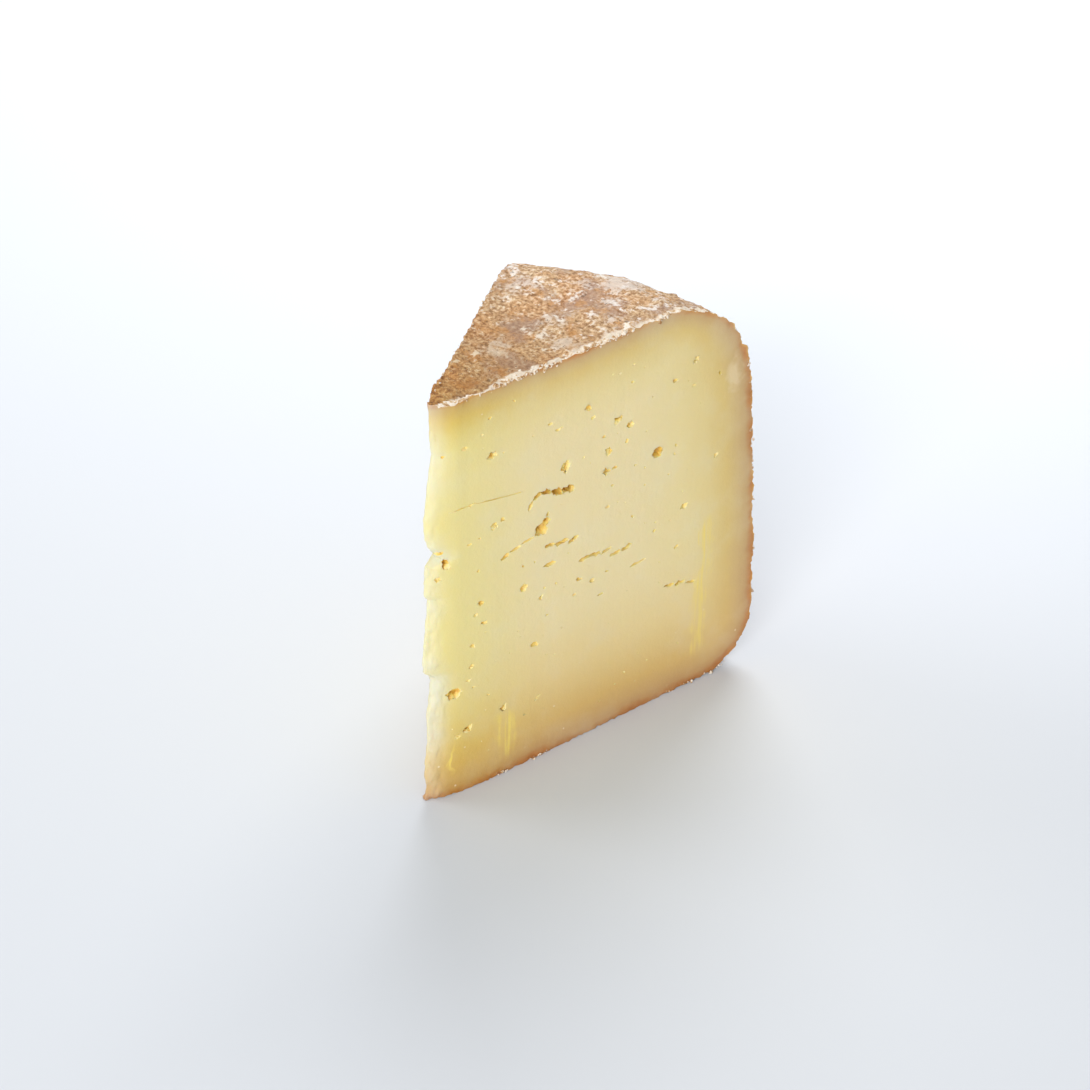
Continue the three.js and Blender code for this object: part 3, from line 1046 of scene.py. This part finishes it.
def crumble_tree():
    tree, given, node = new_tree("crumble_the_edge", Width=EDGE_WIDTH, Amount=1.6 * MM,
                                 Feature=1.5 * MM, Lowest=114 * MM)
    depth, from_cut, from_open = (
        node("InputNamedAttribute.FLOAT", name)
        for name in ("drying_depth", "from_cut", "from_open_cut")
    )
    weight = given["Amount"]
    for measured in (depth, from_cut):
        fading = node("MapRange", measured, 0.0, given["Width"], 1.0, 0.0)
        weight = node("Math.MULTIPLY", weight, fading)
    place = node("InputPosition")
    push = push_any_way(node, place, given["Feature"], weight)
    broken = kept_on_table(node, given["Geometry"], node("VectorMath.ADD", place, push))
    # the skin is off in patches along the open cut, where the rind is bare and pale
    patch = node("TexNoise", place, Scale=1 / (3 * MM), Detail=3.0)
    reach = node("MapRange", patch, 0.45, 0.75, 0.0, 3.6)
    bare = node("Compare.LESS_THAN", depth, 0.9)
    for condition in (
        node("Compare.GREATER_THAN", from_open, 0.12),
        node("Compare.LESS_THAN", from_open, reach),
        node("Compare.GREATER_THAN", node("SeparateXYZ", place).outputs["Z"], given["Lowest"]),
    ):
        bare = node("BooleanMath.AND", bare, condition)
    finish_tree(node, given, broken, Selection=bare)
    return tree


wedge = run_tree(crumble_tree(), "cheese_wedge_visual", wedge_mesh, Material=crumb)

# %% Build the tree that leaves crumbs along an edge
CRUMB_CLUSTER = 7 * MM


def crumb_tree():
    tree, given, node = new_tree("leave_crumbs", Spacing=1.0 * MM, Smallest=0.3 * MM,
                                 Largest=1.1 * MM, Spread=0.7 * MM, Rarity=0.46, Seed=7)
    seed = given["Seed"]
    edge = node("MeshToCurve", given["Geometry"])
    points = node("CurveToPoints.LENGTH", edge, Length=given["Spacing"])
    spread = node("CombineXYZ", *[given["Spread"]] * 3)
    least = node("VectorMath.SCALE", spread, Scale=-1.0)
    aside = node("RandomValue.FLOAT_VECTOR", least, spread, Seed=seed)
    strewn = node("SetPosition", points.outputs["Points"], Offset=aside)
    # crumbs come in clusters
    place = node("InputPosition")
    cluster = node("TexNoise", place, Scale=1 / CRUMB_CLUSTER, Detail=1.0)
    kept = node("Compare.GREATER_THAN", cluster, given["Rarity"])
    # most are small: the share of the largest size is a random number times itself
    share = node("RandomValue.FLOAT", Seed=seed)
    share = node("Math.MULTIPLY", share, share)
    across = node("MapRange", share, 0.0, 1.0, given["Smallest"], given["Largest"])
    shape = node("RandomValue.FLOAT_VECTOR", (0.6, 0.6, 0.35), (1.5, 1.2, 0.8), Seed=seed)
    turn = node("RandomValue.FLOAT_VECTOR", (0.0, 0.0, 0.0), (6.28, 6.28, 6.28), Seed=seed)
    balls = node("InstanceOnPoints", strewn, kept,
                 Instance=node("MeshIcoSphere", Radius=0.5, Subdivisions=2), Rotation=turn,
                 Scale=node("VectorMath.SCALE", shape, Scale=across))
    uneven = push_out(node, node("RealizeInstances", balls),
                      layered_height(node, place, [(0.7 * MM, 0.4 * MM, 1.0)]))
    finish_tree(node, given, kept_on_table(node, uneven, place))
    return tree


# %% Follow the edges of the cuts and leave the crumbs
NO_CRUMBS_BEFORE = 12          # millimetres along the cut
NO_TOP_CRUMBS_BEYOND = 84
LOWEST_CRUMB = 0.7             # millimetres, so that it lies on the table
SHOULDER_CRUMBS = 9            # millimetres below the top, where the rind turns down
top = wheel_height / MM
CRUMB_ROWS = [                 # name, cut, lowest, highest, how far out, material, sizes
    ("top_crumbs", OPEN, top - SHOULDER_CRUMBS, top + 1, 0.1, crumb,
     dict(Spacing=0.32 * MM, Rarity=0.47, Seed=3)),
    ("side_crumbs", OPEN, 6, top - SHOULDER_CRUMBS, -0.3, rind,
     dict(Spacing=1.2 * MM, Largest=1.3 * MM, Spread=0.35 * MM, Rarity=0.5, Seed=5)),
    ("foot_crumbs", OPEN, 0, 6, 0.3, crumb,
     dict(Spacing=0.8 * MM, Largest=0.9 * MM, Spread=0.35 * MM, Rarity=0.55, Seed=8)),
    ("hidden_crumbs", HIDDEN, 6, top + 1, -0.1, rind,
     dict(Spacing=1.6 * MM, Largest=1.0 * MM, Spread=0.4 * MM, Rarity=0.5, Seed=9)),
]


def rind_edge(side, low, high, beyond):
    """Where the rind meets a cut, as (along, up) in millimetres, for section points from low up."""
    along_axis = AXIS_FROM_MEETING @ cut_direction(side)
    short = AXIS_FROM_MEETING @ AXIS_FROM_MEETING - along_axis ** 2
    edge = []
    for start, end in zip(section, section[1:]):
        for radius, up in along_line(start, end, MM):
            if radius ** 2 > short and low <= up / MM <= high:
                edge.append(((along_axis + math.sqrt(radius ** 2 - short)) / MM, up / MM))
    return [(along, max(up, LOWEST_CRUMB)) for along, up in edge
            if NO_CRUMBS_BEFORE < along < beyond]


def leave_crumbs(tree):
    for name, side, low, high, out, material, sizes in CRUMB_ROWS:
        beyond = NO_TOP_CRUMBS_BEYOND if name == "top_crumbs" else math.inf
        places = [on_cut(along, up, side, out) for along, up in rind_edge(side, low, high, beyond)]
        crumbs = run_tree(tree, name, outline_mesh(name, places, closed=False),
                          Material=material, **sizes)
        crumbs.data.shade_smooth()
        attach(crumbs, "root")


leave_crumbs(crumb_tree())

# %% Shade the wedge smooth, and sharp where the knife left an edge
SHARP_ANGLE = math.radians(38)


def shade_wedge(mesh):
    """Smooth, with sharp edges where the knife went, but none inside an eye."""
    mesh.shade_smooth()
    mesh.set_sharp_from_angle(angle=SHARP_ANGLE)
    edge_of_corner = np.empty(len(mesh.loops), dtype=np.int32)
    mesh.loops.foreach_get("edge_index", edge_of_corner)
    corners, slots = (np.empty(len(mesh.polygons), dtype=np.int32) for _ in range(2))
    mesh.polygons.foreach_get("loop_total", corners)
    mesh.polygons.foreach_get("material_index", slots)
    eye_slots = [i for i, material in enumerate(mesh.materials) if material == eye_wall]
    in_eye = np.repeat(np.isin(slots, eye_slots), corners)
    faces = np.bincount(edge_of_corner, minlength=len(mesh.edges))
    eye_faces = np.bincount(edge_of_corner, weights=in_eye, minlength=len(mesh.edges))
    sharp = np.empty(len(mesh.edges), dtype=bool)
    layer = mesh.attributes["sharp_edge"].data
    layer.foreach_get("value", sharp)
    layer.foreach_set("value", sharp & (eye_faces < faces))
    print("sharp edges:", int(sharp.sum()), "of", len(sharp))


shade_wedge(wedge.data)
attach(wedge, "root")
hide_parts("cheese_wedge")

# %% [markdown]
# ## Floor and light
#
# The wedge stands on a plain pale table in soft studio light: a large soft lamp before it, a weaker
# one high on the left, and a wash over the table behind it.

# %% Lay the floor
FLOOR_SIZE = 6.0
FLOOR_DROP = 0.05 * MM         # just under the foot, so the two don't share one plane


def lay_floor():
    mesh = bpy.data.meshes.new("floor")
    half = FLOOR_SIZE / 2
    corners = [(-half, -half), (half, -half), (half, half), (-half, half)]
    mesh.from_pydata([(x, y, -FLOOR_DROP) for x, y in corners], [], [(0, 1, 2, 3)])
    material, node = new_material("matt_paper_floor")
    finish_material(node, Base_Color=linear("#ced2d8"), Roughness=0.8)
    mesh.materials.append(material)
    put_in_scene("floor", mesh)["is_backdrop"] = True


lay_floor()

# %% Set the lamps
LAMPS = [                      # name, place, aim, size, watts, colour
    ("key", (0.45, -1.26, 0.68), (0.0, 0.0, 0.06), 0.9, 17.5, "#fffcf6"),
    ("left", (-1.20, -0.50, 0.70), (0.0, 0.0, 0.06), 0.8, 5.5, "#ffffff"),
    ("wash", (-0.20, 0.50, 0.55), (-0.20, 0.50, 0.0), 0.5, 5.0, "#ffffff"),
]


def set_lamps():
    for name, place, aim, size, watts, colour in LAMPS:
        data = bpy.data.lights.new(name, "AREA")
        data.shape = "DISK"
        data.size = size
        data.energy = watts
        data.color = linear(colour)[:3]
        lamp = put_in_scene(name, data)
        lamp.location = place
        look_along(lamp, Vector(aim) - Vector(place))


set_lamps()

# %% Light the air evenly
world = bpy.data.worlds.new("studio_air")
bpy.context.scene.world = world
world.use_nodes = True
world.node_tree.nodes.clear()
air = add(world.node_tree, "Background", linear("#f4f7fb"), 0.5)
add(world.node_tree, "OutputWorld", air)
bpy.context.scene.view_settings.view_transform = "Standard"

# %% Print how much the box grows, and finish
final_low, final_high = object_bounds()
growth = (final_high - final_low) - (cad_high - cad_low)
print("visual box grows by", [round(size / MM, 2) for size in growth], "mm")
